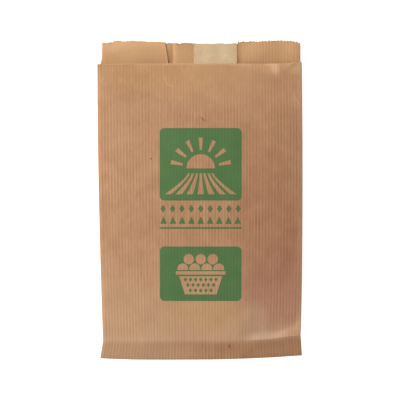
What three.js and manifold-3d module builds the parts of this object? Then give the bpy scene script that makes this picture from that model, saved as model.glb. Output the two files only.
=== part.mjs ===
// A flat paper bag with side gussets, empty and lying on its back.
//
// One sheet of ribbed kraft paper is folded into a tube: a front panel, a back panel and,
// at each side, a gusset folded inwards in two halves. The back panel and the rear halves
// of the gussets stand past the front as a lip, and the blade that cut them left small
// teeth. The bottom end is pressed flat, turned under and glued to the back. A strip of
// cream paper lies on the inside of the back panel and shows at the lip.
//
// Sizes are in millimetres. +X goes across the bag, +Y runs up to the mouth and +Z stands
// up from the front panel. The origin is on the ground under the middle of the bag.

import * as THREE from 'three';
import { mergeVertices } from 'three/addons/utils/BufferGeometryUtils.js';
import Module from 'manifold-3d';

const wasm = await Module();
wasm.setup();

// ---- Driving dimensions ---------------------------------------------------------------

const bagLength = 280; // bottom fold to the back's top edge
const lipLength = 18.5; // the back stands this far past the front
const flapRise = 3; // the gusset flaps end this far past the back's top edge
const bottomTurn = 16.5; // end of the tube that is turned under and glued

const wall = 0.5; // paper, drawn thicker than the real 0.1 so that each fold is solid
const layerPitch = 0.85; // from the middle of one folded layer to the next
const glueOverlap = 0.05; // glued layers sink this far into each other
const toothPitch = 2.77; // teeth left by the cutting blade
const toothDepth = 0.9;

// Heights of the middle of the paper above the ground. The bag is slightly puffed.
const creaseHeight = 4.3; // front panel at the embossed crease above the bottom turn
const mouthHeight = 7.8; // front panel at its cut edge
const bulge = 2.4; // how far the front panel rises above a straight line between the two
const crownPower = 2.4; // how flat the middle of the puffed panel is
const sideHeightAtCrease = 3.8; // the front panel's side folds
const sideHeightAtMouth = 4.9;
const bottomHeight = 1.05; // front panel where it meets the bottom fold

// Each side: half of the panel's width at its fullest, where its gusset creases, and how
// its fold runs from mouth to bottom. The puffed body draws the folds in towards the crease,
// and the pressed end splays out again.
const left = {
  sign: -1,
  half: 90.8,
  creaseX: -29.3,
  rearInset: 3,
  drawIn: 4.7,
  drawInFrom: 115,
  drawPower: 1.75,
  splay: 2.6,
};
const right = {
  sign: 1,
  half: 90.5,
  creaseX: 33.3,
  rearInset: 1.3,
  drawIn: 1.6,
  drawInFrom: 20,
  drawPower: 2.6,
  splay: 1.5,
};

const cornerRise = 3.4; // the bottom's right corner is pressed this far up out of line
const cornerRiseFrom = 10; // x where that starts
const cornerRiseFade = 50; // above the crease, the height over which it dies out

const curlHeight = 1.5; // the left flap curls up off the back
const curlWidth = 45; // from its free edge to where it lies flat
const curlRun = 8; // length of bag over which the curl grows

const stripLeft = -5.3; // cream strip, beside the right gusset's inner crease
const stripRight = 32.8;
const stripLength = 80;
const stripThickness = 0.35;
const stripGap = 0.3; // between the strip and the paper under it

// ---- Places that follow from them -----------------------------------------------------

const bottomY = -(bagLength + flapRise) / 2;
const backTop = bottomY + bagLength;
const frontTop = backTop - lipLength;
const creaseY = bottomY + bottomTurn;
const padTop = creaseY - 5.5; // below this the pressed layers are one solid pad
const tubeBottom = padTop - 1; // the tube reaches a little way into the pad
const tubeTop = frontTop + 1.5; // the tube's blank end, before its teeth are cut
const curlStart = tubeTop + 0.5;

const { lerp, clamp, smoothstep } = THREE.MathUtils;

// How far y is below the crease, from 0 at the crease to 1 at the bottom fold.
function belowCrease(y) {
  return clamp((creaseY - y) / bottomTurn, 0, 1);
}

// How far y is up the bag, from 0 at the crease to 1 at the front's cut edge.
function upBag(y) {
  return clamp((y - creaseY) / (frontTop - creaseY), 0, 1);
}

// x of the fold between the front panel and a gusset.
function sideFoldX(side, y) {
  const drawn = clamp((side.drawInFrom - y) / (side.drawInFrom - creaseY), 0, 1);
  const drawnIn = side.drawIn * drawn ** side.drawPower;
  return side.sign * (side.half - drawnIn + side.splay * belowCrease(y));
}

// x of the fold between the same gusset and the back panel, which lies a little further in.
function rearFoldX(side, y) {
  return sideFoldX(side, y) - side.sign * side.rearInset;
}

// How far the skewed bottom end moves the place x, y up the bag.
function skew(x, y) {
  const span = right.half - cornerRiseFrom;
  const across = clamp((x - cornerRiseFrom) / span, 0, 1);
  return cornerRise * across ** 2 * smoothstep(creaseY + cornerRiseFade - y, 0, cornerRiseFade);
}

// Height of the front panel's side folds.
function sideHeight(y) {
  const body = lerp(sideHeightAtCrease, sideHeightAtMouth, upBag(y));
  return lerp(body, bottomHeight, belowCrease(y));
}

// Height of the front panel along the middle of the bag.
function middleHeight(y) {
  const up = upBag(y);
  const body = lerp(creaseHeight, mouthHeight, up) + bulge * Math.sin(Math.PI * up);
  return lerp(body, bottomHeight, belowCrease(y));
}

// Height of the front panel at u, from -1 at the left fold to 1 at the right fold.
function frontHeight(u, y) {
  const crown = 1 - Math.abs(u) ** crownPower;
  return lerp(sideHeight(y), middleHeight(y), crown);
}

// Height of the back panel: flat on the ground, and lifted over the glued bottom turn.
function backHeight(y) {
  const rampTop = creaseY + 7;
  const rampFoot = creaseY + 2;
  const lift = smoothstep(rampTop - y, 0, rampTop - rampFoot);
  return wall / 2 + (wall - glueOverlap) * lift;
}

// Height of the gussets' inner creases, halfway between the front's and the back's folds.
function creaseMiddle(y) {
  return (sideHeight(y) + backHeight(y)) / 2;
}

// ---- The folded paper in section ------------------------------------------------------

const panelSteps = 20; // columns of facets across the front panel
const frontHalfSteps = 3; // and across the front and rear halves of a gusset
const rearHalfSteps = 6;

// Three points that turn the paper back at a fold. Its nose is at x and points to `sign`.
// The turn runs down through the layers where `down` is 1, and up where it is -1.
function fold(x, z, sign, down) {
  const half = layerPitch / 2;
  const back = x - sign * half;
  return [
    [back, z + down * half],
    [x, z],
    [back, z - down * half],
  ];
}

// Points along a straight stretch of paper between two places, without the two ends.
function stretch(from, to, steps) {
  const points = [];
  for (let i = 1; i < steps; i += 1) {
    points.push([lerp(from[0], to[0], i / steps), lerp(from[1], to[1], i / steps)]);
  }
  return points;
}

// Points over the puffed front panel, between its two side folds.
function crown(from, to, y) {
  const points = [];
  for (let i = 1; i < panelSteps; i += 1) {
    const u = (2 * i) / panelSteps - 1;
    const edge = u < 0 ? from : to;
    points.push([Math.abs(u) * edge[0], frontHeight(u, y)]);
  }
  return points;
}

// The middle line of the paper round the bag at y. It crosses the front panel from the
// left, goes in and out round the right gusset and comes back along the back panel. Each
// point says which part of the sheet it is on.
function sectionLine(y) {
  const half = layerPitch / 2;
  const leftFold = fold(sideFoldX(left, y), sideHeight(y) - half, -1, -1);
  const rightFold = fold(sideFoldX(right, y), sideHeight(y) - half, 1, 1);
  const rightCrease = fold(right.creaseX, creaseMiddle(y), -1, 1);
  const leftCrease = fold(left.creaseX, creaseMiddle(y), 1, -1);
  const rightRear = fold(rearFoldX(right, y), backHeight(y) + half, 1, 1);
  const leftRear = fold(rearFoldX(left, y), backHeight(y) + half, -1, -1);

  const panel = [leftFold[2], ...crown(leftFold[2], rightFold[0], y), rightFold[0]];
  const rightFrontHalf = stretch(rightFold[2], rightCrease[0], frontHalfSteps);
  const rightRearHalf = stretch(rightCrease[2], rightRear[0], rearHalfSteps);
  const leftRearHalf = stretch(leftRear[2], leftCrease[0], rearHalfSteps);
  const leftFrontHalf = stretch(leftCrease[2], leftFold[0], frontHalfSteps);

  const on = (part, points) => points.map(([x, z]) => ({ x, y: y + skew(x, y), z, part }));
  return [
    ...on('frontHalf', [leftFold[0]]),
    ...on('front', [leftFold[1], ...panel, rightFold[1]]),
    ...on('frontHalf', [rightFold[2], ...rightFrontHalf, rightCrease[0], rightCrease[1]]),
    ...on('rear', [rightCrease[2], ...rightRearHalf, ...rightRear, ...leftRear]),
    ...on('leftFlap', [...leftRearHalf, leftCrease[0]]),
    ...on('frontHalf', [leftCrease[1], leftCrease[2], ...leftFrontHalf]),
  ];
}

// The section line moved sideways by `distance`, outwards above 0.
function offsetLine(line, distance) {
  return line.map((point, i) => {
    const before = line.at(i - 1);
    const after = line[(i + 1) % line.length];
    const arriving = new THREE.Vector2(point.x - before.x, point.z - before.z).normalize();
    const leaving = new THREE.Vector2(after.x - point.x, after.z - point.z).normalize();
    const along = arriving.clone().add(leaving).normalize();
    const miter = distance / along.dot(leaving);
    return { ...point, x: point.x - along.y * miter, z: point.z + along.x * miter };
  });
}

function outsideOf(y) {
  return offsetLine(sectionLine(y), wall / 2);
}

function insideOf(y) {
  return offsetLine(sectionLine(y), -wall / 2);
}

// ---- Solids ---------------------------------------------------------------------------

// A closed mesh as a solid that can be joined and cut.
function solid(positions, faces) {
  const mesh = new wasm.Mesh({
    numProp: 3,
    vertProperties: new Float32Array(positions),
    triVerts: new Uint32Array(faces),
  });
  return new wasm.Manifold(mesh);
}

// The solid back as a geometry.
function geometryOf(body) {
  const mesh = body.getMesh();
  const geometry = new THREE.BufferGeometry();
  geometry.setAttribute('position', new THREE.BufferAttribute(mesh.vertProperties, 3));
  geometry.setIndex(new THREE.BufferAttribute(mesh.triVerts, 1));
  geometry.computeVertexNormals();
  return geometry;
}

// A solid skinned over rings of points, which run up the bag. Every ring has the same
// number of points. Where `looped` is true the last ring meets the first, as the two faces
// of a tube's wall do, and otherwise a flat cap closes each end.
function ringSolid(rings, looped) {
  const count = rings[0].length;
  const faces = [];
  const bands = looped ? rings.length : rings.length - 1;
  for (let band = 0; band < bands; band += 1) {
    const here = band * count;
    const next = ((band + 1) % rings.length) * count;
    for (let i = 0; i < count; i += 1) {
      const j = (i + 1) % count;
      faces.push(here + i, here + j, next + j);
      faces.push(here + i, next + j, next + i);
    }
  }
  if (!looped) {
    const cap = (ring) => {
      const outline = ring.map(({ x, z }) => new THREE.Vector2(x, z));
      return THREE.ShapeUtils.triangulateShape(outline, []);
    };
    const last = (rings.length - 1) * count;
    faces.push(...cap(rings[0]).flat());
    for (const [a, b, c] of cap(rings.at(-1))) {
      faces.push(last + a, last + c, last + b);
    }
  }
  const positions = rings.flat().flatMap(({ x, y, z }) => [x, y, z]);
  return solid(positions, faces);
}

// A solid plate of the outline `points`, from one height to another.
function plate(points, fromZ, toZ) {
  const shape = new THREE.Shape(points.map(([x, y]) => new THREE.Vector2(x, y)));
  const extruded = new THREE.ExtrudeGeometry(shape, {
    depth: toZ - fromZ,
    bevelEnabled: false,
  });
  extruded.translate(0, 0, fromZ);
  extruded.deleteAttribute('normal');
  extruded.deleteAttribute('uv');
  const merged = mergeVertices(extruded);
  return solid(merged.attributes.position.array, merged.index.array);
}

// Evenly spread places from one to another, both included.
function spread(from, to, steps) {
  return Array.from({ length: steps + 1 }, (_, i) => lerp(from, to, i / steps));
}

// The folded tube, from the pressed end to just past the front's cut edge.
function tube() {
  const nearCrease = [tubeBottom, padTop, creaseY - 2.5, creaseY, creaseY + 2, creaseY + 7];
  const stations = [...nearCrease, ...spread(creaseY + 14, tubeTop, 17)];
  const outside = stations.map(outsideOf);
  const inside = stations.map(insideOf);
  return ringSolid([...outside, ...inside.reverse()], true);
}

// How far the left flap's curl lifts the paper at x, y.
function curlLift({ x, y, part }) {
  if (part !== 'leftFlap') return 0;
  const across = clamp((x - left.creaseX) / curlWidth + 1, 0, 1);
  return curlHeight * across ** 2 * smoothstep(y, curlStart, curlStart + curlRun);
}

// The lip: the back panel and the rear halves of the gussets, with the left flap curled.
function lip() {
  const stations = [frontTop - 4, ...spread(curlStart, backTop + flapRise + 2, 7)];
  const onLip = (face) =>
    face
      .filter(({ part }) => part !== 'front' && part !== 'frontHalf')
      .map((point) => ({ ...point, z: point.z + curlLift(point) }));
  const rings = stations.map((y) => [...onLip(outsideOf(y)), ...onLip(insideOf(y)).reverse()]);
  return ringSolid(rings, false);
}

// The pressed end: below the tube all the layers are one glued pad, which thins towards
// the bottom fold and turns round it.
function pressedEnd() {
  const foldRadius = bottomHeight / 2;
  const foldEnd = bottomY + foldRadius;
  // A ring of the pad at y. In the turn, `open` falls from 1 to the fold's tip at 0.
  const ring = (y, open = 1) => {
    const setBack = foldRadius * Math.sqrt(1 - open ** 2);
    const face = outsideOf(y)
      .filter(({ part }) => part === 'front')
      .map((point) => ({ ...point, y: point.y - setBack }));
    const upper = face.map((point) => ({ ...point, z: (point.z * (1 + open)) / 2 }));
    const lower = face.map((point) => ({ ...point, z: (point.z * (1 - open)) / 2 }));
    return [...upper, ...lower.reverse()];
  };
  return ringSolid(
    [
      ring(foldEnd, 0.25),
      ring(foldEnd, 0.75),
      ring(foldEnd),
      ring(bottomY + 5),
      ring(tubeBottom),
      ring(padTop),
    ],
    false,
  );
}

// The turned-under end of the tube, glued to the outside of the back.
function gluedTurn() {
  const edge = (y) => {
    const places = spread(sideFoldX(left, y), sideFoldX(right, y), panelSteps);
    return places.map((x) => [x, y + skew(x, y)]);
  };
  return plate([...edge(bottomY + bottomHeight), ...edge(creaseY).reverse()], 0, wall);
}

// A cutting body whose near edge is a row of teeth along edgeY(x).
function blade(edgeY, fromZ, toZ) {
  const reach = left.half + 10;
  const halfTeeth = Math.ceil((2 * reach) / (toothPitch / 2));
  const edge = Array.from({ length: halfTeeth + 1 }, (_, i) => {
    const x = -reach + (i * toothPitch) / 2;
    const tooth = i % 2 === 0 ? toothDepth / 2 : -toothDepth / 2;
    return [x, edgeY(x) + tooth];
  });
  const farY = backTop + 40;
  return plate([...edge, [edge.at(-1)[0], farY], [edge[0][0], farY]], fromZ, toZ);
}

// The front's cut edge, which rises a little at its right corner.
function frontEdge(x) {
  return frontTop + 1.5 * smoothstep(x, 72, 90);
}

// The top edge of the gusset flaps. It drops to the back's edge at the bag's sides, and
// the right flap starts low at its inner crease.
function flapEdge(x) {
  const leftRise = smoothstep(x, -86, -78);
  const rightRise = lerp(0.4, 1, smoothstep(x, right.creaseX, 58)) * smoothstep(-x, -88, -84);
  return backTop + flapRise * (x < 0 ? leftRise : rightRise);
}

// The whole bag as one solid.
function paperBag() {
  const sky = 40; // above everything
  const ground = -5;
  const flapLevel = wall / 2 + layerPitch / 2; // between the back panel and the flaps
  const body = tube().subtract(blade(frontEdge, creaseMiddle(frontTop), sky));
  const cutLip = lip()
    .subtract(blade(() => backTop, ground, flapLevel))
    .subtract(blade(flapEdge, flapLevel, sky));
  return body.add(cutLip).add(pressedEnd()).add(gluedTurn());
}

// The cream strip, which lies on the inside of the back panel.
function creamStrip() {
  const top = backTop - 0.2;
  const outline = [
    [stripLeft, top - stripLength],
    [stripRight, top - stripLength],
    [stripRight, top],
    [stripLeft, top],
  ];
  const under = wall + stripGap;
  return plate(outline, under, under + stripThickness);
}

// ---- The bag and its strip ------------------------------------------------------------

// Kraft paper: brown, dry and matt.
function kraftPaper() {
  return new THREE.MeshStandardMaterial({ color: 0xbe9270, roughness: 0.85, metalness: 0 });
}

// Cream paper, a little smoother.
function creamPaper() {
  return new THREE.MeshStandardMaterial({ color: 0xdbbf97, roughness: 0.75, metalness: 0 });
}

const bag = new THREE.Mesh(geometryOf(paperBag()), kraftPaper());
bag.name = 'paper_bag';

const strip = new THREE.Mesh(geometryOf(creamStrip()), creamPaper());
strip.name = 'cream_strip';

const model = new THREE.Group();
model.add(bag, strip);

export default model;
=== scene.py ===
# %% [markdown]
# # A flat kraft paper bag
#
# The object is an empty paper bag with side gussets, of the kind that fruit is sold in. It
# lies on its back with the printed front up, and the camera looks straight down on it.
# This notebook dresses the packed model: the plain solids say where the bag is and how
# large it is, and the cells below make the thin folded sheet, its ribs, the print and the
# light. Blender counts in metres, but paper is easier to think about in millimetres, so
# every size here is in millimetres and is scaled once, when a mesh is made.

# %% Load the frame
from math import pi

import bpy
import numpy as np
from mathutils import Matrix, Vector, geometry


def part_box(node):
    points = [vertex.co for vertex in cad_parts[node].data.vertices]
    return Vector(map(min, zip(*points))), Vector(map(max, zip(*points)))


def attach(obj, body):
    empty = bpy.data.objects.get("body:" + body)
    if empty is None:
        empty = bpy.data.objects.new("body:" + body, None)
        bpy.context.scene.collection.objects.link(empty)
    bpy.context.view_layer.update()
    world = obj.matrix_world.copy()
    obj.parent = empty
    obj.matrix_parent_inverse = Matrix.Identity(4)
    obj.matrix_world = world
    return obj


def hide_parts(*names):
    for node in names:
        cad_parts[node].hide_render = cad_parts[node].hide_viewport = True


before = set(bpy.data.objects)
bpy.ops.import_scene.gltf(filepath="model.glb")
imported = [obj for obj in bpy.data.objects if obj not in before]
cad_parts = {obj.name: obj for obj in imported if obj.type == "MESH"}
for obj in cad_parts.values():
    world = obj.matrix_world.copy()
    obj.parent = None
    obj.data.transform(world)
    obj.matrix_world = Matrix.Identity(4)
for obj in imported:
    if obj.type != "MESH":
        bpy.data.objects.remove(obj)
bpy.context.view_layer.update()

MM = 0.001
bag_low, bag_high = (np.array(corner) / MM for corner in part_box("paper_bag"))
strip_low, strip_high = (np.array(corner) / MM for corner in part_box("cream_strip"))
print("bag box in mm", bag_low.round(1), bag_high.round(1))

# %% [markdown]
# ## The camera
#
# A product photo of something flat is taken from straight above. The bag's top end is a
# little wider in the picture than its bottom end, because it is thicker there and so
# nearer the lens, and that fixes how far away the camera stands: about 600 mm. The lens
# then follows from how many pixels the bag fills.

# %% Camera
camera_height = 600
focal_pixels = 674.2  # the lens, counted in pixels of the 400 pixel wide frame
frame_pixels = 400
sensor = 36
axis_above_middle = 0.3  # the optical axis lies this many pixels above the frame's middle

camera_data = bpy.data.cameras.new("camera")
camera_data.sensor_width = sensor
camera_data.lens = focal_pixels / frame_pixels * sensor
camera_data.shift_y = -axis_above_middle / frame_pixels
camera_data.clip_start = 0.01
camera = bpy.data.objects.new("camera", camera_data)
camera.location = (0, 0, camera_height * MM)
bpy.context.scene.collection.objects.link(camera)
bpy.context.scene.camera = camera
print("lens in mm", round(camera_data.lens, 1))

# %% [markdown]
# ## The bag's own sizes
#
# The frame gives the outer box. The rest is how such a bag is made: the tube is folded
# with two gussets, its back stands 18.5 mm past its front, and 16.5 mm of its bottom end
# is turned under and glued. The puffed body pulls the side folds in towards the bottom.

# %% Sizes of the folded bag
lip_length = 18.5
bottom_turn = 16.5
half_panel = 90.0  # half of the front panel's width on the flat sheet
teeth_on_front = 65
tooth_pitch = 2 * half_panel / teeth_on_front
tooth_depth = 1.1
lip_tooth_depth = 1.6
paper = 0.14  # thickness, a little over the real 0.1 so that cut edges show

back_top = strip_high[1] + 0.2
front_top = back_top - lip_length
bottom_y = bag_low[1]
crease_y = bottom_y + bottom_turn

# Each side: `half` is its fold's distance from the middle, which `mouth_in`, `draw_in` and
# `splay` change at the mouth, towards the bottom and below the bottom crease. `crease` is x
# of the gusset's inner crease, `rear_inset` is how much further in the fold at the back is,
# and `roll` lifts or lowers the front panel beside its fold.
LEFT = dict(sign=-1, half=90.8, mouth_in=0, draw_in=4.7, draw_from=115, draw_power=1.75,
            splay=2.6, crease=-29.3, rear_inset=3.65, crease_height=2.5, roll=0.2)
RIGHT = dict(sign=1, half=90.6, mouth_in=0.6, draw_in=1.6, draw_from=20, draw_power=2.6,
             splay=1.5, crease=33.3, rear_inset=0.9, crease_height=3.5, roll=-0.12)

crease_height = 3.7  # of the front panel's middle at the bottom crease
mouth_height = 7.6  # of its middle at the mouth
bulge = 2.4  # what the puffed middle adds in between
side_at_mouth = 4.8  # height of its side folds at the mouth
bottom_height = 1.0
turn_lift = 0.34  # of the back over the glued turn
layer_pitch = 0.6  # between folded layers


def smooth(low, high, value):
    """0 at low and 1 at high, with a smooth rise between them."""
    t = np.clip((np.asarray(value, float) - low) / (high - low), 0, 1)
    return t * t * (3 - 2 * t)


def mix(a, b, t):
    return a + (b - a) * t


def below_crease(y):
    """0 at the bottom crease and 1 at the bottom edge."""
    return np.clip((crease_y - y) / bottom_turn, 0, 1)


def up_bag(y):
    """0 at the bottom crease and 1 at the mouth."""
    return np.clip((y - crease_y) / (front_top - crease_y), 0, 1)


def side_fold(side, y):
    """x of the fold between the front panel and a gusset."""
    drawn = np.clip((side["draw_from"] - y) / (side["draw_from"] - crease_y), 0, 1)
    half = side["half"] - side["draw_in"] * drawn ** side["draw_power"]
    half = half - side["mouth_in"] * smooth(40, front_top, y) + side["splay"] * below_crease(y)
    return side["sign"] * half


def side_height(side, y):
    """Height of the fold between the front panel and a gusset."""
    body = mix(side["crease_height"], side_at_mouth, up_bag(y))
    return mix(body, bottom_height, below_crease(y))


def middle_height(y):
    """Height of the front panel's middle."""
    up = up_bag(y)
    body = mix(crease_height, mouth_height, up) + bulge * np.sin(pi * up ** 1.4)
    return mix(body, bottom_height, below_crease(y))


def back_height(y):
    """The back panel lies on the ground, and is lifted over the glued turn."""
    return paper / 2 + turn_lift * smooth(crease_y + 6, crease_y + 1, y)


print("front edge", front_top, "crease", round(crease_y, 1), "bottom", round(bottom_y, 1))

# %% [markdown]
# ## Dents and creases
#
# Paper takes folds and dents that keep their edges, so soft noise alone looks like cloth.
# The marks are built from three simple forms: a round dent, a tent-shaped ridge along a
# line, and a pinch that opens towards the cut edge. Each one is a height in millimetres
# over the place x, y, and they are summed and added to the front panel.


# %% Forms of dents and creases
def dent(x, y, at, reach, height):
    """A round rise, or a dent where height is below 0, `reach` wide and long."""
    far = ((x - at[0]) / reach[0]) ** 2 + ((y - at[1]) / reach[1]) ** 2
    return height * np.exp(-far)


def ridge(x, y, start, end, width, height):
    """A straight fold with flat flanks, which fades out at both ends."""
    along = np.subtract(end, start).astype(float)
    length = np.hypot(*along)
    along /= length
    run = (x - start[0]) * along[0] + (y - start[1]) * along[1]
    off = (x - start[0]) * along[1] - (y - start[1]) * along[0]
    flank = np.clip(1 - np.abs(off) / width, 0, 1)
    ends = smooth(0, 0.3 * length, run) * smooth(length, 0.7 * length, run)
    return height * flank * ends


def pinch(x, y, tip, knots, mouth_y, depth):
    """A trough with straight folds that run from its tip to the knots at mouth_y.

    Each knot is an x at the mouth and a share of the depth there.
    """
    up = (y - tip[1]) / (mouth_y - tip[1])
    spread = np.clip(up, 0.15, 1.1)
    share = np.zeros(np.broadcast(x, y).shape)
    for (x0, low0), (x1, low1) in zip(knots, knots[1:]):
        start, end = mix(tip[0], x0, spread), mix(tip[0], x1, spread)
        share = share + (low1 - low0) * np.clip((x - start) / (end - start), 0, 1)
    return -depth * share * np.clip(up, 0, 1.1)


def waves(x, y, length, seed, count=14):
    """Gentle unevenness of about the given wave length, from -1 to 1."""
    rng = np.random.default_rng(seed)
    total = np.zeros(np.broadcast(x, y).shape)
    for _ in range(count):
        angle, phase = rng.uniform(0, 2 * pi, 2)
        k = 2 * pi / (length * rng.uniform(0.75, 1.4))
        total += np.cos(k * (x * np.cos(angle) + y * np.sin(angle)) + phase)
    return total / count * 1.6


print("a dent's middle and rim:", dent(np.array([0, 5]), 0, (0, 0), (5, 5), -1).round(2))


# %% The front panel's marks
def front_marks(x, y):
    """All the marks on the front panel."""
    z = 0.25 * waves(x, y, 80, seed=3) + 0.07 * waves(x, y, 30, seed=5)
    z = z + 0.015 * waves(x, y, 10, seed=8)

    # The corner of the mouth was pinched, which left a bright facet with straight folds.
    folds = [(18, 0), (56, 0.72), (70, 0.02), (84.5, -0.13), (90, -0.02)]
    z = z + pinch(x, y, tip=(68, 108.5), knots=folds, mouth_y=121, depth=4.3)
    z = z + ridge(x, y, start=(82, 95), end=(90, 79), width=2.4, height=0.6)

    # Soft hollows below the mouth.
    hollows = [((-44, 92), (22, 22), -0.55), ((20, 110), (18, 10), -0.35),
               ((78, 92), (20, 16), -0.4)]
    for at, reach, height in hollows:
        z = z + dent(x, y, at, reach, height)

    # Short cross wrinkles at the right, where the bag was gripped.
    for k in range(4):
        line = 36 - 4 * k
        z = z + ridge(x, y, (63, line), (82, line - 1.5), width=1.8, height=0.12)

    # A long shallow trough beside the right fold, and the mouth's edge pressed down.
    z = z - 0.18 * np.exp(-(((x - 84) / 9) ** 2)) * smooth(-20, -60, y)
    z = z - 0.5 * smooth(front_top - 9, front_top + 1, y) * smooth(45, 30, x)

    # The bottom turn pulls a trough above the crease, deepest at the right. Its upper side
    # is much gentler than the side towards the crease.
    pull = smooth(34, 54, x)
    trough_x = [-90, 38, 46, 67, 74, 80, 88]
    trough_y = np.interp(x, trough_x, [-110, -119, -118, -119, -117, -114, -112])
    gentle = mix(9, 19, pull) * mix(1, 0.35, smooth(68, 85, x))
    reach = np.where(y > trough_y, gentle, mix(9, 4.5, pull))
    depth = 0.15 + 1.15 * pull * mix(1, 0.5, smooth(66, 84, x))
    z = z - depth * np.exp(-(((y - trough_y) / reach) ** 2))
    z = z + (0.05 + 0.5 * pull) * np.exp(-np.abs(y - crease_y) / 3.0)
    return z


print("marks", front_marks(*np.meshgrid([-80, 0, 80], [-110, 0, 112])).round(2).tolist())

# %% [markdown]
# ## The folded sheet
#
# The real bag is one sheet, so the mesh is one sheet too: a grid whose columns run up the
# bag and whose rows go round it. A row starts at the seam on the back, goes right round
# the folded layers and ends under its own start, where the seam is glued. Cloth
# simulation could fold a sheet like this, but it would not keep the sharp machine folds,
# so the fold lines are given and only the marks above bend the panels.
#
# Every stretch of a row is either a straight line between two folds or a half circle
# round a fold. The front panel has twice as many columns, because it is what is seen.

# %% Stretches of a row
seam_top_x = -24.0  # the seam's upper edge, inside the bag
seam_under_x = -11.0
seam_lift = 0.17  # the upper layer of the seam lies on the lower one
arc_steps = 4


def straight(start, end, width, bow=0.0):
    """Places on a line, which may bow up or down in the middle.

    The width only sets how many columns there are, a tooth apart. It is the same for every
    row, so that all the rows have the same columns.
    """
    t = np.linspace(0, 1, int(round(width / tooth_pitch)) + 1)
    z = mix(start[1], end[1], t) + bow * np.sin(pi * t)
    return np.stack([mix(start[0], end[0], t), z], 1)


def turn(centre, radius, start_angle, end_angle):
    """Places round a fold."""
    a = np.radians(np.linspace(start_angle, end_angle, arc_steps + 1))
    return np.stack([centre[0] + radius * np.cos(a), centre[1] + radius * np.sin(a)], 1)


print("round a fold:", turn((0, 0), 1, -90, 90).round(2).tolist())

# %% Height of the front panel
shoulder_width = 5.0  # over which the panel rolls down, or up, to its side folds
flatness = 2.3  # the higher, the flatter the panel's middle and the rounder its sides


def rear_x(side, y):
    """x of the fold between a gusset and the back. It flares out just above the mouth."""
    flare = side["rear_inset"] * 0.42 * np.exp(-(((y - front_top - 1) / 3) ** 2))
    return side_fold(side, y) - side["sign"] * (side["rear_inset"] - flare)


def front_height(x, y):
    """Height of the middle of the front panel's paper at x, y."""
    on_left = x < 0
    fold = np.where(on_left, side_fold(LEFT, y), side_fold(RIGHT, y))
    side = np.where(on_left, side_height(LEFT, y), side_height(RIGHT, y))
    off_middle = np.abs(x / fold) ** flatness
    body = mix(side, middle_height(y), 1 - off_middle)
    from_fold = np.abs(fold - x)
    puffed = 1 - below_crease(y)
    roll = np.where(on_left, LEFT["roll"], RIGHT["roll"]) * puffed
    shoulder = 1 - np.clip(1 - from_fold / shoulder_width, 0, 1) ** 2
    body = body + roll * shoulder * off_middle
    marked = smooth(0, 5, from_fold) * mix(0.12, 1, puffed ** 1.5)
    return body + front_marks(x, y) * marked


print("height across the middle:", front_height(np.array([-90, -45, 0, 45, 90]), 0).round(2))

# %% One row of the sheet
front_u = np.linspace(1, -1, 2 * teeth_on_front + 1)  # a column at each tooth's tip and gap
layers_deep = 3.15  # the four layers at a side fold, in layer pitches and with some room
crease_level = 1.65  # the gussets' creases lie low: this many pitches over the back
gusset_bow = 0.35


def given_way(points, y):
    """A stretch of the gusset, pushed down where the front panel above it is dented."""
    points[:, 1] = np.minimum(points[:, 1], front_height(points[:, 0], y) - 0.7 * layer_pitch)
    return points


def row(y):
    """The stretches of the row at y, each a list of x, z places."""
    left, right, back = side_height(LEFT, y), side_height(RIGHT, y), back_height(y)
    pitch = min(layer_pitch, (min(left, right) - back) / layers_deep)
    r = pitch / 2
    xr, xl = side_fold(RIGHT, y), side_fold(LEFT, y)
    rear_r, rear_l = rear_x(RIGHT, y), rear_x(LEFT, y)
    cr, cl = RIGHT["crease"], LEFT["crease"]
    middle = back + crease_level * pitch
    bow = gusset_bow * (1 - below_crease(y))

    x = np.where(front_u > 0, front_u * (xr - r), -front_u * (xl + r))
    back_right = straight((seam_top_x, back), (rear_r - r, back), width=114)
    back_right[:, 1] += seam_lift * smooth(-7, -11, back_right[:, 0])
    return dict(
        back_right=back_right,
        rear_right=turn((rear_r - r, back + r), r, -90, 90),
        rear_half_right=straight((rear_r - r, back + pitch), (cr + r, middle - r), width=56),
        crease_right=turn((cr + r, middle), r, 270, 90),
        front_half_right=given_way(
            straight((cr + r, middle + r), (xr - r, right - pitch), width=57, bow=bow), y),
        fold_right=turn((xr - r, right - r), r, -90, 90),
        front=np.stack([x, front_height(x, y)], 1),
        fold_left=turn((xl + r, left - r), r, 90, 270),
        front_half_left=given_way(
            straight((xl + r, left - pitch), (cl - r, middle + r), width=61, bow=bow), y),
        crease_left=turn((cl - r, middle), r, 90, -90),
        rear_half_left=straight((cl - r, middle - r), (rear_l + r, back + pitch), width=58),
        rear_left=turn((rear_l + r, back + r), r, 90, 270),
        back_left=straight((rear_l + r, back), (seam_under_x, back), width=76),
    )


def joined(parts):
    """The stretches as one row: neighbours share their end place."""
    parts = list(parts.values())
    return np.concatenate([parts[0]] + [part[1:] for part in parts[1:]])


sample = row(0.0)
start = {}  # the column where each stretch starts, and which it shares with the last one
column = 0
for name, part in sample.items():
    start[name] = column
    column += len(part) - 1
columns = column + 1
print(columns, "columns, starting at", start)

# %% [markdown]
# ## Rows from the turned-under end to the lip
#
# The bottom end is a front panel that goes on round the bottom fold and back under the
# bag, so the first rows hold only the front's columns. The last rows are the lip, where
# only the back and the rear halves of the gussets go on. A mask says which columns a row
# has, and a face is made where all its four corners exist.

# %% Rows
front_columns = np.arange(start["front"], start["fold_left"] + 1)
right_nose = start["crease_right"] + arc_steps // 2  # the middle of the gusset's inner crease
left_nose = start["crease_left"] + arc_steps // 2
lip_mask = np.zeros(columns, bool)
lip_mask[:right_nose + 1] = True
lip_mask[left_nose:] = True
front_mask = np.zeros(columns, bool)
front_mask[front_columns] = True

nose_radius = (bottom_height - paper / 2) / 2
nose_y = bottom_y + nose_radius


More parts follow.
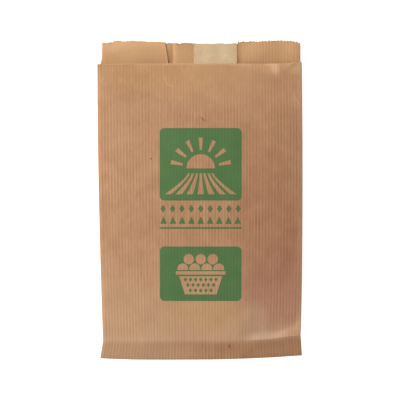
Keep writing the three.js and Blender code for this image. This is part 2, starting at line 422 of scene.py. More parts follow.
def corner_lift(x, y):
    """How far the skewed corners of the bottom end move the place x, y up the bag."""
    right = 3.4 * np.clip((x - 8) / 82, 0, 1) ** 1.75 * smooth(crease_y + 50, crease_y, y)
    left = 1.0 * np.clip((-x - 58) / 30, 0, 1) ** 1.5
    sag = 0.35 + 0.4 * np.exp(-(((x + 30) / 45) ** 2))
    pulled_up = 1.6 * smooth(54, 88, x) * np.exp(-(((y - crease_y) / 8) ** 2))
    return right + (left - sag) * below_crease(y) + pulled_up


def placed(points, y, mask):
    """A row of x, z places at y as x, y, z places and its mask."""
    x, z = points.T
    return np.stack([x, y + corner_lift(x, y), z], 1), mask


rows, lengths = [], []  # the rows, and how far up the flat sheet each one is

# The turned end, under the bag, and the bottom fold.
end_row = joined(row(nose_y))
for y in np.linspace(crease_y - 0.6, nose_y, 7)[:-1]:
    flat = joined(row(y))
    flat[:, 1] = paper / 2
    rows.append(placed(flat, y, front_mask))
    lengths.append(nose_y - pi * nose_radius - (y - nose_y))
for angle in np.radians(np.linspace(-90, 90, 7))[:-1]:
    bent = end_row.copy()
    half = (end_row[:, 1] - paper / 2) / 2
    bent[:, 1] = paper / 2 + half * (1 + np.sin(angle))
    place, mask = placed(bent, nose_y, front_mask)
    place[:, 1] -= half * np.cos(angle)
    rows.append((place, mask))
    lengths.append(nose_y - nose_radius * (pi / 2 - angle))

# The body, with rows close together at the bottom crease and near the mouth.
near_mouth = front_top - np.array([27, 24, 21, 18, 15, 12.5, 10, 8, 6, 4.2, 2.6, 1.5, 0.8, 0])
stations = np.concatenate([
    np.linspace(nose_y, crease_y - 3, 6),
    crease_y + np.array([-1.6, -0.8, -0.3, 0, 0.5, 1.2, 2.4, 4]),
    np.linspace(crease_y + 6, crease_y + 34, 15),
    np.linspace(crease_y + 38, front_top - 30, 44),
    near_mouth,
])
whole = np.ones(columns, bool)
for y in stations:
    rows.append(placed(joined(row(y)), y, whole))
    lengths.append(y)
last_body_row = len(rows) - 1
print(len(rows), "rows up to the mouth")

# %% [markdown]
# ## The mouth and the lip
#
# A toothed blade cut the sheet, first the front and the inner halves of the gussets, then
# the rest 18.5 mm further on. The rear halves of the gussets are left standing as two
# flaps. Both rise out of the mouth and slope down again to their top edge. The left one has
# curled, its free edge leans over, and the back rises to meet it. The right one has a burr
# on its fold and two low crests. Between them the glued seam stands up as a small bead.
# The flaps catch the light, so each row of the lip is bent place by place.


# %% Cut edges
def front_edge(x):
    """The cut edge of the front, without its teeth. It climbs at the right."""
    return front_top + 1.5 * smooth(72, 90, x) + 0.12 * waves(x, 0 * x, 25, seed=21)


def back_edge(x):
    """The top edge of the back: uneven, with a nub of paper left beside the strip."""
    corner = 0.8 * smooth(-60, -84, x)
    nub = 1.1 * np.exp(-(((x + 6.6) / 1.6) ** 2)) + 0.5 * np.exp(-(((x + 13) / 4) ** 2))
    return back_top + 0.25 + corner + nub + 0.8 * np.exp(-(((x + 27) / 3) ** 2))


def flap_edge(x):
    """The top edge of the gusset flaps, which drops to the back's edge at the sides."""
    left = 0.8 + 1.7 * smooth(-79.5, -76, x) - 0.9 * smooth(-60, -30, x)
    right = (1.7 + 1.2 * smooth(46, 68, x) - 0.6 * smooth(72, 84, x)) * smooth(89.5, 84, x)
    return back_top + 0.25 + np.where(x < 0, left, right) + 0.2 * waves(x, 0 * x, 9, seed=22)


def teeth(count):
    """Up and down by half a tooth, column by column."""
    return tooth_depth / 2 * (-1.0) ** np.arange(count)


mouth_row = rows[last_body_row][0]
rise = front_edge(mouth_row[front_columns, 0]) - front_top
for (place, _), y in zip(rows[-len(near_mouth):], near_mouth):
    place[front_columns, 1] += rise * smooth(near_mouth[0], front_top, y)
mouth_row[front_columns, 1] += teeth(len(front_columns))
mouth_row[front_columns, 2] -= 0.22  # the blade pressed the cut edge down
print("the front's edge climbs by", np.ptp(rise).round(1))

# %% Bends of the lip
right_flap = np.arange(start["rear_right"], right_nose + 1)
left_flap = np.arange(left_nose, start["rear_left"] + arc_steps + 1)
curl_width = 46  # how far the left flap's curl reaches from its free edge
free_edge_lean = 3.2
free_edge_shift = 1.4
tuck = 0.45  # how far the back stays below the left flap


def arched(share, height):
    """A flap rises out of the mouth and then slopes down to its top edge."""
    crest = 0.45  # how far up the lip it is highest
    return height * (1 - ((share - crest) / crest) ** 2)


def lip_marks(place, share):
    """Bends the places of a lip row, which is `share` of the way up the lip."""
    x, y = place.T[:2]
    bent = place.copy()
    grow = smooth(-0.15, 0.5, share)
    for flap in (left_flap, right_flap):
        pressed = back_height(y[flap]) + layer_pitch
        bent[flap, 2] = mix(bent[flap, 2], pressed, 0.8 * grow)

    # Left flap: it has curled, and its free edge leans over.
    flap_x = x[left_flap]
    across = np.clip((flap_x - LEFT["crease"]) / curl_width + 1, 0, 1)
    bent[left_flap, 2] += 0.15 * across ** 2 * grow
    bent[left_flap, 0] -= free_edge_lean * across ** 6 * share - free_edge_shift * across ** 6
    bent[left_flap, 2] += arched(share, 0.8) * mix(0.6, 1, smooth(-89, -55, flap_x))
    bent[left_flap, 2] += 0.25 * smooth(-60, -35, flap_x) * grow

    # Right flap: it is pressed on the back, with a burr on its fold and two crests.
    flap_x = x[right_flap]
    bent[right_flap, 2] += 0.45 * np.exp(-(flap_x - RIGHT["crease"]) / 1.3)
    for crest_x, reach in [(53, (12, 16)), (88, (9, 14))]:
        bent[right_flap, 2] += grow * dent(flap_x, y[right_flap], (crest_x, 133), reach, 0.85)
    inner = smooth(RIGHT["crease"] + 2, RIGHT["crease"] + 22, flap_x) * smooth(90, 80, flap_x)
    held_down = 0.4 * smooth(0.1, 0.03, share)  # by the front's cut edge
    bent[right_flap, 2] += arched(share, 0.45) * mix(0.5, 1, inner) - held_down

    # Back: it slopes down from under the left flap to the bead of the glued seam.
    under = slice(start["back_left"], columns)
    room = bent[left_flap[3], 2] - bent[under, 2] - tuck
    lift = np.maximum(room, 0) * smooth(-23.8, -29.5, x[under])
    bent[under, 2] += lift * smooth(-65, -40, x[under])
    seam = slice(0, start["rear_right"])
    bead = np.interp(x[seam], [-24, -21.2, -18.4, -12, -8], [0, 0.6, 0.35, 0.1, 0])
    bent[seam, 2] += bead
    return bent


print(len(right_flap), "and", len(left_flap), "columns in the right and the left flap")

# %% Rows of the lip
flap_columns = np.concatenate([right_flap, left_flap])
for share in [0.03, 0.1, 0.2, 0.3, 0.4, 0.5, 0.6, 0.7, 0.8, 0.88, 0.95, 1.0]:
    level = front_top + share * lip_length
    points = joined(row(level))
    x = points[:, 0]
    top = back_edge(x)
    top[flap_columns] = flap_edge(x[flap_columns])
    y = front_top + share * (top - front_top)
    place = np.stack([x, y, points[:, 1]], 1)
    rows.append((lip_marks(place, share), lip_mask))
    lengths.append(level)
print(len(rows), "rows in all")

# %% [markdown]
# ## From rows to a thick sheet
#
# The grid is the middle of the paper. Each vertex moves half the paper's thickness along
# its normal to both sides, and a narrow rim joins the two faces wherever the sheet is cut.
# Blender's Solidify modifier does the same, but done here the two faces can be given their
# own places on the texture map.


# %% Thick sheet
def mesh_object(name, points, faces):
    """An object of the given places, in millimetres, and faces."""
    mesh = bpy.data.meshes.new(name)
    mesh.from_pydata((np.asarray(points) * MM).tolist(), [], faces)
    mesh.update()
    made = bpy.data.objects.new(name, mesh)
    bpy.context.scene.collection.objects.link(made)
    return made


def cut_edges(faces):
    """The edges that only one face uses, in that face's direction."""
    found = {}
    for face in faces:
        for a, b in zip(face, face[1:] + face[:1]):
            key = (min(a, b), max(a, b))
            found[key] = None if key in found else (a, b)
    return [edge for edge in found.values() if edge]


def thick_sheet(name, points, faces, sheet_places, thickness):
    """Both faces and the rim of a sheet whose middle is given, with a map in sheet sizes."""
    middle = mesh_object(name, points, faces)
    normals = np.empty(3 * len(points))
    middle.data.vertex_normals.foreach_get("vector", normals)
    offset = normals.reshape(-1, 3) * thickness / 2
    old = middle.data
    bpy.data.objects.remove(middle)
    bpy.data.meshes.remove(old)

    count = len(points)
    both = np.concatenate([points + offset, points - offset])
    under = [tuple(v + count for v in reversed(face)) for face in faces]
    rim = [(b, a, a + count, b + count) for a, b in cut_edges(faces)]
    piece = mesh_object(name, both, list(faces) + under + rim)
    piece.data.shade_smooth()

    sheet_places = np.tile(np.asarray(sheet_places) * MM, (2, 1))
    corner_vertices = np.empty(len(piece.data.loops), int)
    piece.data.loops.foreach_get("vertex_index", corner_vertices)
    layer = piece.data.uv_layers.new(name="sheet")
    layer.data.foreach_set("uv", sheet_places[corner_vertices].ravel())
    sharpen_rim(piece.data, 2 * len(faces))
    return piece


def sharpen_rim(mesh, first_rim):
    """Keeps the rim's edges crisp, so that the shading does not run round the cut."""
    rim_edges = set()
    for polygon in list(mesh.polygons)[first_rim:]:
        rim_edges.update(polygon.edge_keys)
        polygon.use_smooth = False
    sharp = np.array([tuple(sorted(e.vertices)) in rim_edges for e in mesh.edges], bool)
    attribute = mesh.attributes.new("sharp_edge", "BOOLEAN", "EDGE")
    attribute.data.foreach_set("value", sharp)


print("one square has", len(cut_edges([(0, 1, 2, 3)])), "cut edges")

# %% Places on the flat sheet
# How far round the flat sheet each column is, so that x = 0 on the front is 0.
reference = joined(row(30.0))
around = np.concatenate([[0], np.cumsum(np.hypot(*np.diff(reference, axis=0).T))])
front_span = around[start["fold_left"]] - around[start["front"]]
around = (around[start["front"]] + around[start["fold_left"]]) / 2 - around
around *= 2 * half_panel / front_span

# Every column of the lip is the tip of a tooth.
tooth_rng = np.random.default_rng(41)
top_row = rows[-1][0]
for j in np.flatnonzero(lip_mask):
    top_row[j, 1] += lip_tooth_depth * tooth_rng.uniform(0.2, 0.7)
    top_row[j, 2] += 0.15  # the blade left a burr

grid = -np.ones((len(rows), columns), int)
places, sheet_places = [], []
for i, (place, mask) in enumerate(rows):
    for j in np.flatnonzero(mask):
        grid[i, j] = len(places)
        places.append(place[j])
        sheet_places.append((around[j], lengths[i]))
print(len(places), "places on a sheet of", round(np.ptp(around)), "by", round(np.ptp(lengths)))


# %% Kraft sheet
def notch(a, b):
    """Adds the gap between the teeth at the vertices a and b, and returns its vertex."""
    depth = lip_tooth_depth * tooth_rng.uniform(0.6, 1.3)
    places.append(np.mean([places[a], places[b]], axis=0) - (0, depth, 0))
    sheet_places.append(np.mean([sheet_places[a], sheet_places[b]], axis=0))
    return len(places) - 1


def toothed(i, j):
    """Whether the top edge between columns j and j + 1 of row i is cut by single teeth."""
    if i == len(rows) - 1:
        return abs(around[j] - around[j + 1]) > tooth_pitch / 2
    inner = right_nose < j < left_nose - 1
    on_front = start["fold_right"] <= j < start["front_half_left"]
    return i == last_body_row and inner and not on_front


faces = []
for i in range(len(rows) - 1):
    for j in range(columns - 1):
        corners = (grid[i, j], grid[i, j + 1], grid[i + 1, j + 1], grid[i + 1, j])
        if min(corners) < 0:
            continue
        if toothed(i + 1, j):
            corners = corners[:3] + (notch(corners[3], corners[2]),) + corners[3:]
        faces.append(tuple(int(v) for v in reversed(corners)))

kraft_sheet = thick_sheet("kraft_sheet", np.array(places), faces, sheet_places, paper)

# Two shares for the material: the lip, and the flap where curling rubbed the ribs away.
sheet_s, sheet_t = np.array(sheet_places).T
on_lip = smooth(front_top - 1, front_top + 2, sheet_t)
on_left_flap = (sheet_s < around[left_flap[0]] + 1) & (sheet_s > around[left_flap[-1]] - 1)
for name, share in dict(on_lip=on_lip, smoothed=on_lip * on_left_flap).items():
    attribute = kraft_sheet.data.attributes.new(name, "FLOAT", "POINT")
    attribute.data.foreach_set("value", np.tile(share, 2))
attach(kraft_sheet, "root")
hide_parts("paper_bag")
triangles = sum(len(p.vertices) - 2 for p in kraft_sheet.data.polygons)
print("kraft sheet:", triangles, "triangles")

# %% [markdown]
# ## The cream strip
#
# A strip of cream paper lies on the inside of the back and shows at the lip between the
# two flaps. It is a thin sheet of its own, so it is made in the same way, with a little
# waviness because it is only glued in places.

# %% Cream strip
strip_thickness = 0.12
strip_top = back_top + 0.35
strip_rest = paper + 0.35  # height of its middle over the ground
across = np.linspace(strip_low[0], strip_high[0], 21)
along = np.concatenate([
    np.linspace(strip_low[1], front_top - 3, 22)[:-1],
    np.linspace(front_top - 3, strip_top, 13),
])
x, y = (axis.ravel() for axis in np.meshgrid(across, along))
y = y + 0.6 * smooth(24, 33, x) * smooth(front_top, strip_top, y)
z = strip_rest + 0.10 * waves(x, y, 22, seed=31) + 0.035 * waves(x, y, 7, seed=32)
strip_faces = []
for i in range(len(along) - 1):
    for j in range(len(across) - 1):
        a = i * len(across) + j
        strip_faces.append((a, a + 1, a + len(across) + 1, a + len(across)))
cream_strip = thick_sheet(
    "cream_strip_paper", np.stack([x, y, z], 1), strip_faces, np.stack([x, y], 1), strip_thickness)
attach(cream_strip, "root")
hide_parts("cream_strip")
print("cream strip:", len(cream_strip.data.polygons), "faces")

# %% [markdown]
# ## The print
#
# Such bags are printed by flexography: a rubber plate lays one flat green on the paper.
# The design here is a plain one: a field under a rising sun, a band of diamonds and
# triangles, and a basket of fruit. What looks like brown ink is bare paper.
#
# A picture texture would need an image, so the print is a film of ink with real outlines.
# Each field is a list of closed outlines. A point is inked where an odd number of them
# goes round it, so a hole is just one more outline. A triangulation fills the area, with
# extra points inside so that the film can follow the paper's dents.


# %% Outlines
def rounded_box(low, high, radius, steps=6):
    """A box between two corners. A quarter circle rounds each corner."""
    (x0, y0), (x1, y1) = low, high
    centres = [(x1 - radius, y0 + radius, -90), (x1 - radius, y1 - radius, 0),
               (x0 + radius, y1 - radius, 90), (x0 + radius, y0 + radius, 180)]
    points = []
    for cx, cy, first in centres:
        for angle in np.radians(np.linspace(first, first + 90, steps + 1)):
            points.append((cx + radius * np.cos(angle), cy + radius * np.sin(angle)))
    return points


def arc(centre, radius, first, last, steps=24):
    """Places on an ellipse, whose radius is one number or two."""
    rx, ry = np.broadcast_to(radius, 2)
    return [(centre[0] + rx * np.cos(a), centre[1] + ry * np.sin(a))
            for a in np.radians(np.linspace(first, last, steps + 1))]


def disc(centre, radius, steps=28):
    return arc(centre, radius, 0, 360, steps)[:-1]


def wedge(centre, near, far, angle, half_near, half_far):
    """A ray from a centre, wider at its far end. The half widths are in degrees."""
    corners = [(near, angle - half_near), (far, angle - half_far),
               (far, angle + half_far), (near, angle + half_near)]
    return [(centre[0] + r * np.cos(np.radians(a)), centre[1] + r * np.sin(np.radians(a)))
            for r, a in corners]


def diamond(centre, width, height):
    cx, cy = centre
    return [(cx + width / 2, cy), (cx, cy + height / 2),
            (cx - width / 2, cy), (cx, cy - height / 2)]


def furrow(centre, step, top, bottom):
    """A strip of ploughed field that widens and bends outwards on its way down."""
    def edge(lane):
        t = np.linspace(0, 1, 9)
        return list(zip(centre + lane * mix(3.4, 9.6, t ** 1.3), mix(top, bottom, t)))
    return edge(step - 0.29) + edge(step + 0.29)[::-1]


print("a diamond:", diamond((0, 0), 5, 7))

# %% The design
print_left, print_right = -35.4, 36.6
print_middle = (print_left + print_right) / 2
sun = (print_middle, 27.5)
upper_block = [
    rounded_box((print_left, -0.7), (print_right, 62.9), 4),
    arc(sun, 12.5, 0, 180),
    *[wedge(sun, 16.2, 27, angle, 3.4, 4.2) for angle in np.linspace(12, 168, 7)],
    *[furrow(print_middle, k, 23.2, 4.8) for k in range(-3, 4)],
]
band = [
    *[diamond((x, -7.9), 4.8, 7) for x in np.linspace(print_left + 3, print_right - 3, 9)],
    *[[(x - 3, -21.2), (x + 3, -21.2), (x, -14.6)]
      for x in np.linspace(print_left + 3.4, print_right - 3.4, 9)],
    rounded_box((print_left, -25.6), (print_right, -24.1), 0.3, 2),
]
basket_top = -63.0
fruit = [(x, basket_top + 2) for x in (-15.9, -5.3, 5.3, 15.9)]
upper_fruit = [(x, basket_top + 10.6) for x in (-10.6, 0, 10.6)]
weave = [(x, basket_top - 7.4 - 4.8 * tier)
         for tier in range(3) for x in np.linspace(-1, 1, 7 - tier) * (13.5 - 2.2 * tier)]
lower_block = [
    rounded_box((print_left, -89.4), (print_right, -41.2), 4),
    rounded_box((print_middle - 22, basket_top - 3), (print_middle + 22, basket_top), 1),
    [(print_middle - 19, basket_top - 4.4), (print_middle - 14, basket_top - 20.5),
     (print_middle + 14, basket_top - 20.5), (print_middle + 19, basket_top - 4.4)],
    *[diamond((print_middle + x, y), 3.2, 3.8) for x, y in weave],
    *[arc((print_middle + x, y), 4.9, -12, 192) for x, y in fruit],
    *[disc((print_middle + x, y), 4.6) for x, y in upper_fruit],
]
print(len(upper_block), len(band), len(lower_block), "outlines")


# %% The area of a design
def finely(outline, spacing=1.5):
    """The outline with long sides cut into short ones."""
    points = []
    for (ax, ay), (bx, by) in zip(outline, outline[1:] + outline[:1]):
        steps = max(1, int(np.hypot(bx - ax, by - ay) / spacing))
        points += [(mix(ax, bx, k / steps), mix(ay, by, k / steps)) for k in range(steps)]
    return points


def inked(x, y, outlines):
    """Whether an odd number of outlines goes round each place."""
    inside = np.zeros(len(x), bool)
    for outline in outlines:
        a = np.array(outline)
        b = np.roll(a, -1, axis=0)
        for (ax, ay), (bx, by) in zip(a, b):
            if ay == by:
                continue
            crosses = (ay > y) != (by > y)
            inside ^= crosses & (x < ax + (bx - ax) * (y - ay) / (by - ay))
    return inside


print("outline points of a diamond:", len(finely(diamond((0, 0), 5, 7))))

# %% Ink films
ink_thickness = 0.02
ink_gap = 0.012  # under the film, so that the paper never shows through
ink_grid = 2.0  # spacing of the points inside a film
same_point = 1e-5  # points closer than this are merged


def ink_film(name, outlines):
    """A film of ink on the front panel, inside the outlines."""
    outlines = [finely([(float(x), float(y)) for x, y in outline]) for outline in outlines]
    points, edges = [], []
    for outline in outlines:
        first = len(points)
        points += outline
        edges += [(first + k, first + (k + 1) % len(outline)) for k in range(len(outline))]
    low, high = np.min(points, axis=0), np.max(points, axis=0)
    grid_x, grid_y = np.meshgrid(np.arange(low[0] + 1, high[0], ink_grid),
                                 np.arange(low[1] + 1, high[1], ink_grid))
    points += list(zip(grid_x.ravel(), grid_y.ravel()))
    made = geometry.delaunay_2d_cdt([Vector(p) for p in points], edges, [], 0, same_point)
    flat = np.array([tuple(v) for v in made[0]])
    triangles = np.array([tuple(face) for face in made[2]])
    centre = flat[triangles].mean(axis=1)
    triangles = triangles[inked(centre[:, 0], centre[:, 1], outlines)]
    used, triangles = np.unique(triangles, return_inverse=True)
    triangles = triangles.reshape(-1, 3)
    x, y = flat[used].T
    z = front_height(x, y) + paper / 2 + ink_gap + ink_thickness / 2
    fold = np.where(x < 0, -side_fold(LEFT, y), side_fold(RIGHT, y))
    sheet = np.stack([x / fold * half_panel, y], 1)
    film_faces = [tuple(int(v) for v in face) for face in triangles]
    film = thick_sheet(name, np.stack([x, y, z], 1), film_faces, sheet, ink_thickness)
    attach(film, "root")
    print(name, len(film.data.polygons), "faces")
    return film


ink_films = [
    ink_film("ink_field_and_sun", upper_block),
    ink_film("ink_band", band),
    ink_film("ink_fruit_basket", lower_block),
]

# %% [markdown]
# ## Materials
#
# A material is a small network of nodes. One function adds a node, sets its settings and
# links or fills its sockets. Colours are written as on screen, in hex, and turned to the
# linear values that Blender calculates with.


# %% Node helpers
def linear(colour):
    """A hex colour of the screen as linear red, green, blue and alpha."""
    parts = [int(colour[i:i + 2], 16) / 255 for i in (1, 3, 5)]
    return tuple(p / 12.92 if p <= 0.04045 else ((p + 0.055) / 1.055) ** 2.4 for p in parts) + (1,)


def node(tree, kind, settings=None, **inputs):
    """Adds a node. Its kind is Blender's type without ShaderNode. _0 and _1 are inputs by number.

    An input is a value, a socket or another node, of which the first output is used.
    """
    made = tree.nodes.new("ShaderNode" + kind)
    for key, value in (settings or {}).items():
        setattr(made, key, value)
    for key, value in inputs.items():
        socket = made.inputs[int(key[1:])] if key[0] == "_" else made.inputs[key.replace("_", " ")]
        if isinstance(value, bpy.types.Node):
            value = value.outputs[0]
        if isinstance(value, bpy.types.NodeSocket):
            tree.links.new(value, socket)
        else:
            socket.default_value = value
    return made


def new_material(name, **inputs):
    """A material, its tree and its shader, which has the given inputs."""
    material = bpy.data.materials.new(name)
    material.use_nodes = True
    tree = material.node_tree
    tree.nodes.clear()
    shader = node(tree, "BsdfPrincipled", **inputs)
    node(tree, "OutputMaterial", Surface=shader.outputs[0])
    return material, tree, shader


def layered(tree, base, parts):
    """The base, plus each part times its share."""
    total = base
    for part, share in parts:
        total = node(tree, "Math", TIMES_PLUS, _0=part, _1=share, _2=total)
    return total


def dress(tree, shader, colour, height, depth):
    """Gives the shader its colour, and a bump of `depth` millimetres from the height."""
    bump = node(tree, "Bump", Strength=1.0, Distance=depth * MM, Height=height)
    tree.links.new(colour, shader.inputs["Base Color"])
    tree.links.new(bump.outputs[0], shader.inputs["Normal"])


TIMES, PLUS = dict(operation="MULTIPLY"), dict(operation="ADD")
TIMES_PLUS = dict(operation="MULTIPLY_ADD")  # first times second plus third
SMOOTH_RISE = dict(interpolation_type="SMOOTHSTEP")  # 0 at From Min and 1 at From Max
COLOURS = dict(data_type="RGBA")
print("one helper adds every node:", node.__doc__.splitlines()[0])

# %% [markdown]
# ## Ribbed kraft
#
# Kraft is unbleached wood pulp. This one is ribbed: a patterned roll pressed fine lines
# into the wet web, 2.77 mm apart, the same as the blade's teeth. To the eye that gives
# narrow light and dark lines along the bag, over a cloudy brown with darker slivers of
# wood. The ribs could be geometry, but they are only about 0.01 mm deep, so a sine along
# the sheet makes both their tint and their bump.


# %% Patterns of the paper
def sheet_place(tree):
    """The place on the flat sheet, in millimetres."""
    uv = node(tree, "UVMap", dict(uv_map="sheet"))
    return node(tree, "VectorMath", dict(operation="SCALE"), _0=uv, Scale=1 / MM)


def cloud(tree, place, size, detail=3.0, stretch=(1, 1, 1)):
    """Noise whose blotches are about `size` millimetres, centred on 0."""
    scaled = node(tree, "Mapping", _0=place, Scale=stretch)
    noise = node(tree, "TexNoise", Vector=scaled, Scale=1 / size, Detail=detail)
    return node(tree, "Math", PLUS, _0=noise, _1=-0.5)


def ribs(tree, place, strength=1.0):
    """The ribs, from -1 to 1, uneven from rib to rib and along each rib."""
    across = node(tree, "SeparateXYZ", _0=place)
    angle = node(tree, "Math", TIMES, _0=across, _1=2 * pi / tooth_pitch)
    wave = node(tree, "Math", dict(operation="SINE"), _0=angle)
    single = cloud(tree, place, 1.0, 4.0, stretch=(0.42, 0.02, 1))
    uneven = layered(tree, 0.75, [(single, 3.6)])
    wave = node(tree, "Math", TIMES, _0=wave, _1=uneven)
    return node(tree, "Math", TIMES, _0=wave, _1=strength)


def specks(tree, place, spacing, radius, share):
    """Small dots: 1 in a dot and 0 elsewhere. `share` of the cells have one."""
    cells = node(tree, "TexVoronoi", Vector=place, Scale=1 / spacing)
    shade = node(tree, "SeparateColor", _0=cells.outputs["Color"])
    chosen = node(tree, "Math", dict(operation="LESS_THAN"), _0=shade, _1=share)
    near = node(tree, "Math", dict(operation="LESS_THAN"), _0=cells, _1=radius / spacing)
    return node(tree, "Math", TIMES, _0=near, _1=chosen)


print("a rib every", round(tooth_pitch, 2), "mm")


# %% Marks and tints
def marks_on(tree, place, marks):
    """Ovals on the sheet: 1 in their inner third, and 0 from their edge outwards."""
    total = None
    for at, angle, length, width in marks:
        local = node(tree, "Mapping", dict(vector_type="TEXTURE"), _0=place,
                     Location=(*at, 0), Rotation=(0, 0, np.radians(angle)),
                     Scale=(length / 2, width / 2, 1))
        away = node(tree, "VectorMath", dict(operation="LENGTH"), _0=local)
        mark = node(tree, "MapRange", SMOOTH_RISE, Value=away.outputs["Value"],
                    From_Min=1.0, From_Max=0.3)
        total = mark if total is None else node(tree, "Math", PLUS, _0=total, _1=mark)
    return total


def tinted(tree, colour, mask, share, tint, blend="MIX"):
    """The colour, mixed with a tint where the mask is 1. At most `share` of it is tint."""
    amount = node(tree, "Math", TIMES, _0=mask, _1=share)
    return node(tree, "Mix", dict(COLOURS, blend_type=blend),
                _0=amount, _6=colour, _7=linear(tint)).outputs[2]


# Marks are on the flat sheet, in millimetres: the middle, angle, length and width of each.
# The flaps and the back are on it too, left and right of the front.
# Light scratches, and last a painted highlight along a short crease at the right fold.
scratches_and_crease_highlight = [((-31.3, 106.3), -62, 6.5, 1.0), ((-28.7, 102.0), -48, 5, 1.0),
             ((-25.3, 100.2), -15, 6, 1.0), ((86.4, 87), -62, 15, 1.8)]
nicks = [((2.2, 70.7), -45, 7, 1.1), ((25.9, -130), 90, 6, 1.4), ((-43, 36), 0, 2, 2)]
redder_painted_shade = [((56, -25), 90, 200, 90), ((-10, -130), 0, 110, 18)]  # painted shade, redder and darker, at the right and on the bottom turn
darker_painted_shade = [((62, -84), 90, 112, 84), ((81, -64), 90, 150, 26)]  # more painted shade, darker, at the lower right
sallow = [((-40, 120), 0, 210, 80), ((5, -100), 0, 100, 44)]  # yellower paper
# Painted light: paper warmer and paler where light falls fuller. Painted highlights: paler still.
painted_light = [((38, 106), 0, 210, 80), ((82, 118), -5, 40, 20), ((89, 52), 90, 90, 10),
          ((-178, 142), 0, 100, 26), ((-266, 131), 0, 18, 40), ((312, 131), 0, 30, 40)]
# Painted highlights on the pinched corner's lit facet and on the left flap's crest.
painted_highlights = [((66.8, 116.5), -75, 17, 10), ((85, 117), -10, 24, 18), ((-200, 137), 0, 50, 20)]
cut_edge_highlight = [((0, 121.5), 0, 230, 9)]  # a painted highlight along the front's cut edge
trough_highlight = [((56, -121.5), 0, 56, 12)]  # a painted highlight, pale grey, in the trough above the bottom crease
turn_sheen = [((-56, -134), 0, 190, 34), ((48, -105), 0, 34, 40)]  # a painted sheen, paler, on the bottom turn and just above it
greyer_painted_shade = [((70, -136), 0, 130, 26), ((89, -86), 90, 100, 14)]  # painted shade, greyer, on the bottom turn and along the right fold
ribbed_more = [((70, 92), 90, 60, 50), ((72, -100), 0, 60, 34), ((-70, -100), 0, 60, 40),
               ((175, 131), 0, 70, 40)]
ribbed_less = [((62, -133), 0, 110, 30), ((0, 117), 0, 110, 34)]

# The tones of the painted sheen, of the painted highlights and of slivers of wood.
sheen_tone, highlight_tone, wood_sliver = "#E2BE9A", "#F2D0AC", "#6B4630"
broad_tints = [
    (redder_painted_shade, 0.9, "#F7EDF1", "MULTIPLY"), (darker_painted_shade, 0.85, "#EFE4E9", "MULTIPLY"),
    (sallow, 1.0, "#FFFFF0", "MULTIPLY"), (painted_light, 0.25, "#E5B485", "MIX"),
    (painted_highlights, 0.22, highlight_tone, "MIX"), (cut_edge_highlight, 0.2, highlight_tone, "MIX"),
    (trough_highlight, 0.3, "#CDBBA8", "MIX"), (turn_sheen, 0.35, sheen_tone, "MIX"),
    (greyer_painted_shade, 0.35, "#DDD3D0", "MULTIPLY"),
]
print(len(broad_tints), "broad tints from", sum(len(tint[0]) for tint in broad_tints), "ovals")


# %% Strength of the ribs
def ribbing(tree, place, up_sheet):
    """How strong the ribs are. Curling wore those of the left flap nearly away."""
    smoothed = node(tree, "Attribute", dict(attribute_name="smoothed")).outputs["Fac"]
    parts = [(smoothed, -1.2), (cloud(tree, place, 40, 2.0), 2.0)]
    for first, last, more in [(50, 118, -0.55), (-40, -118, 0.9)]:
        nearer = node(tree, "MapRange", SMOOTH_RISE,
                      Value=up_sheet, From_Min=first, From_Max=last)
        parts.append((nearer, more))
    parts += [(marks_on(tree, place, ribbed_more), 0.8), (marks_on(tree, place, ribbed_less), -0.9)]
    return layered(tree, 1.45, parts)


# %% Kraft material
def kraft():
    """Ribs, clouds and fibres make the tone. Tints, most of them painted light and shade, and small
    marks lie over it.
    """
    material, tree, shader = new_material(
        "ribbed_kraft_paper", Roughness=0.72, Specular_IOR_Level=0.3)
    place = sheet_place(tree)
    up_sheet = node(tree, "SeparateXYZ", _0=place).outputs[1]
    rib = ribs(tree, place, ribbing(tree, place, up_sheet))
    clouds = cloud(tree, place, 16, 5.0)
    streaks = cloud(tree, place, 1.2, 3.0, stretch=(1, 0.14, 1))
    grain = cloud(tree, place, 0.9, 2.0)

    tone = layered(tree, 0.5, [(rib, 0.12), (clouds, 0.55), (streaks, 0.42), (grain, 0.22)])
    colour = node(tree, "ValToRGB", _0=tone)
    colour.color_ramp.elements[0].color = linear("#A5734F")
    colour.color_ramp.elements[1].color = linear("#DDB088")

    # A painted sheen makes the sheet paler, the more so towards the bottom fold.
    above = node(tree, "MapRange", SMOOTH_RISE,
                 Value=up_sheet, From_Min=-20.0, From_Max=-118.0)
    below = node(tree, "MapRange", SMOOTH_RISE,
                 Value=up_sheet, From_Min=-129.0, From_Max=-125.0, To_Max=0.9)
    painted_low_sheen = node(tree, "Math", TIMES, _0=above, _1=below)
    colour = tinted(tree, colour, painted_low_sheen, 0.45, sheen_tone)
    for marks, share, tint, blend in broad_tints:
        colour = tinted(tree, colour, marks_on(tree, place, marks), share, tint, blend)
    on_lip = node(tree, "Attribute", dict(attribute_name="on_lip")).outputs["Fac"]
    colour = tinted(tree, colour, on_lip, 0.38, "#EBBD83")

    # Small marks: slivers of wood, nicks, light scratches and a painted crease highlight.
    colour = tinted(tree, colour, specks(tree, place, 9, 0.45, 0.3), 0.55, wood_sliver)
    colour = tinted(tree, colour, marks_on(tree, place, nicks), 0.85, wood_sliver)
    colour = tinted(tree, colour, marks_on(tree, place, scratches_and_crease_highlight), 0.45, "#E9C6A0")

    dress(tree, shader, colour, layered(tree, rib, [(streaks, 0.8), (grain, 0.5)]), 0.008)
    return material


kraft_sheet.data.materials.append(kraft())
print("kraft nodes:", len(kraft_sheet.data.materials[0].node_tree.nodes))

# %% [markdown]
# ## Cream paper and printing ink
#
# The strip is a bleached, smoother paper without ribs, thin enough to look mottled where
# it touches the kraft below. The ink is a thin matt film of green pigment, so the ribs of
# the paper show through it faintly.


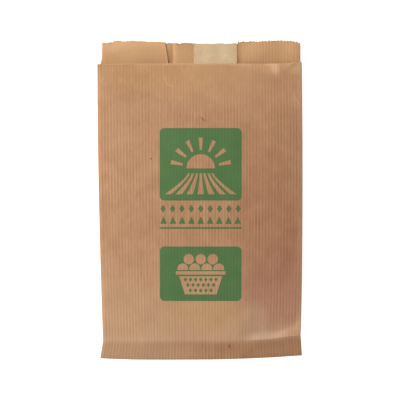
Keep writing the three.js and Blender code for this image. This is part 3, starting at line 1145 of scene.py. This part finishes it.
# %% Cream and ink materials
def cream():
    material, tree, shader = new_material(
        "smooth_cream_paper", Roughness=0.6, Specular_IOR_Level=0.35)
    place = sheet_place(tree)
    broad, fine = cloud(tree, place, 9, 3.0), cloud(tree, place, 1.5, 2.0)
    tone = layered(tree, 0.52, [(broad, 1.0), (fine, 0.4)])
    ramp = node(tree, "ValToRGB", _0=tone)
    ramp.color_ramp.elements[0].color = linear("#CDB083")
    ramp.color_ramp.elements[1].color = linear("#F0D9B4")
    colour = tinted(tree, ramp, specks(tree, place, 4.5, 0.6, 0.35), 0.35, "#A58C58")
    dress(tree, shader, colour, tone, 0.02)
    return material


def green_ink():
    material, tree, shader = new_material(
        "green_printing_ink", Roughness=0.78, Specular_IOR_Level=0.2)
    place = sheet_place(tree)
    rib = ribs(tree, place)
    broad, fine = cloud(tree, place, 14, 4.0), cloud(tree, place, 1.0, 2.0)
    tone = layered(tree, 0.5, [(rib, 0.10), (broad, 0.5), (fine, 0.4)])
    ramp = node(tree, "ValToRGB", _0=tone)
    ramp.color_ramp.elements[0].color = linear("#4A7245")
    ramp.color_ramp.elements[1].color = linear("#6C915A")
    dress(tree, shader, ramp.outputs[0], rib, 0.006)
    return material


cream_strip.data.materials.append(cream())
ink = green_ink()
for film in ink_films:
    film.data.materials.append(ink)
print("materials:", [m.name for m in bpy.data.materials])

# %% [markdown]
# ## Floor and light
#
# Packs are photographed on white and lit from one side, so that ribs and dents show. The
# floor glows a little, as a light table does, which keeps the bag's shadow faint. The key
# is a large soft light from the upper left, low over the paper, and the sky fills in with
# a dim warm light.

# %% Floor
floor_reach = 3000  # to each side
floor_drop = 0.05  # below the bag, so that the two never share a plane
floor_corners = np.array([(-1, -1, 0), (1, -1, 0), (1, 1, 0), (-1, 1, 0)]) * floor_reach
floor = mesh_object("floor", floor_corners, [(0, 1, 2, 3)])
floor.location = (0, 0, -floor_drop * MM)
# White card, lit a little from behind: an even white with no glare.
floor.data.materials.append(new_material(
    "white_floor", Base_Color=linear("#F4F3F1"), Roughness=0.9, Specular_IOR_Level=0.1,
    Emission_Color=linear("#FFFFFF"), Emission_Strength=0.85)[0])
print("floor:", 2 * floor_reach, "mm wide")


# %% Lights
def soft_light(name, azimuth, elevation, distance, size, power, colour):
    """A square light that looks at the bag. Azimuth 0 is +X and 90 is +Y."""
    data = bpy.data.lights.new(name, "AREA")
    data.shape = "SQUARE"
    data.size = size
    data.energy = power
    data.color = linear(colour)[:3]
    lamp = bpy.data.objects.new(name, data)
    a, e = np.radians([azimuth, elevation])
    lamp.location = Vector((np.cos(a) * np.cos(e), np.sin(a) * np.cos(e), np.sin(e))) * distance
    lamp.rotation_euler = lamp.location.to_track_quat("Z", "Y").to_euler()
    bpy.context.scene.collection.objects.link(lamp)


soft_light("key", azimuth=151, elevation=27, distance=2.2, size=1.9, power=78.5, colour="#FFFFFF")
soft_light("fill", azimuth=-10, elevation=14, distance=1.6, size=0.6, power=3, colour="#FFE6D8")

world = bpy.data.worlds.new("studio")
world.use_nodes = True
sky = world.node_tree
sky.nodes.clear()
seen = node(sky, "LightPath").outputs["Is Camera Ray"]
fill = node(sky, "Background", Color=linear("#FFF0E6"), Strength=0.195).outputs[0]
backdrop = node(sky, "Background", Color=linear("#FFFFFF"), Strength=1.0).outputs[0]
both = node(sky, "MixShader", _0=seen, _1=fill, _2=backdrop).outputs[0]
node(sky, "OutputWorld", Surface=both)
bpy.context.scene.world = world
bpy.context.scene.view_settings.view_transform = "Standard"

# %% [markdown]
